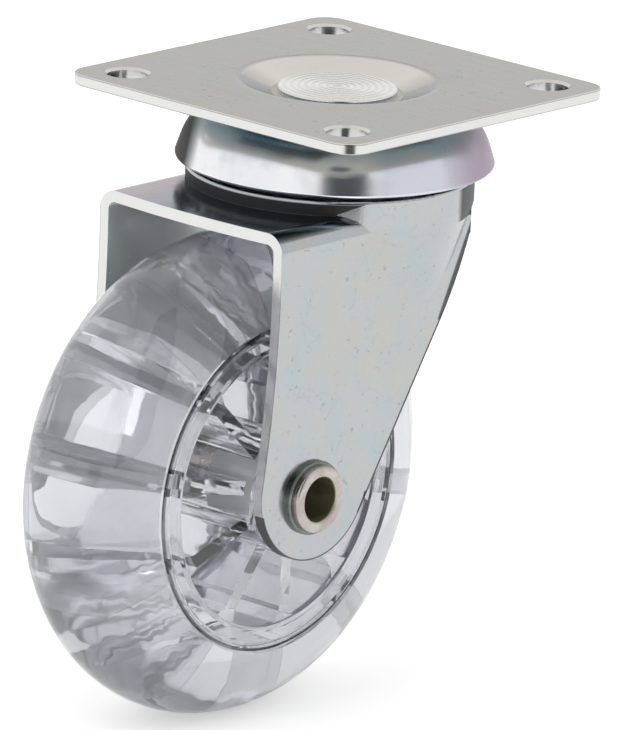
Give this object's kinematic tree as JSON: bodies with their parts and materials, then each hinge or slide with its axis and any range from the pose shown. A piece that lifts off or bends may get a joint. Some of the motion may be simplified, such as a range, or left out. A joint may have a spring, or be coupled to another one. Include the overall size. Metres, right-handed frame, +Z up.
{
  "type": "swivel furniture caster",
  "caption": "Swivel furniture caster with a square bolt-on plate, a drawn cup over its ball race, a trailing sheet-steel fork and a clear spoked wheel on a hollow axle.",
  "frame": {"origin": "centre of the mounting plate's top face, which is the face that goes against the furniture", "axes": "+Z up along the swivel axis, +X towards the wheel's trailing side, Y along the wheel's axle"},
  "size_m": [0.0917, 0.06, 0.097],
  "materials": {
    "plate_steel": "bright zinc plate, satin",
    "kingpin_steel": "bright zinc plate",
    "cup_steel": "bright zinc plate, polished",
    "fork_steel": "bright zinc plate, satin",
    "race_steel": "hardened and zinc plated",
    "ball_steel": "polished",
    "axle_steel": "turned, dull plated",
    "collar_steel": "dark plated",
    "spacer_steel": "zinc plated",
    "bush_plastic": "natural acetal",
    "core_clear": "clear, moulded",
    "tyre_clear": "clear, moulded"
  },
  "bodies": {
    "plate": {"mounting_plate": "plate_steel", "kingpin": "kingpin_steel", "upper_race_cup": "cup_steel", "lower_race_washer": "race_steel"},
    "swivel": {"fork": "fork_steel", "lower_race_cup": "race_steel", "upper_balls": "ball_steel", "lower_balls": "ball_steel", "axle_tube": "axle_steel", "axle_collar_near": "collar_steel", "axle_collar_far": "collar_steel", "axle_spacer_near": "spacer_steel", "axle_spacer_far": "spacer_steel"},
    "wheel": {"wheel_core": "core_clear", "tyre": "tyre_clear", "hub_bush_near": "bush_plastic", "hub_bush_far": "bush_plastic"}
  },
  "joints": [
    {"name": "swivel_turn", "type": "hinge", "parent": "plate", "child": "swivel", "pos_m": [0, 0, -0.016], "axis": [0, 0, 1], "continuous": true},
    {"name": "wheel_roll", "type": "hinge", "parent": "swivel", "child": "wheel", "pos_m": [0.02335, 0, -0.05865], "axis": [0, 1, 0], "continuous": true}
  ]
}
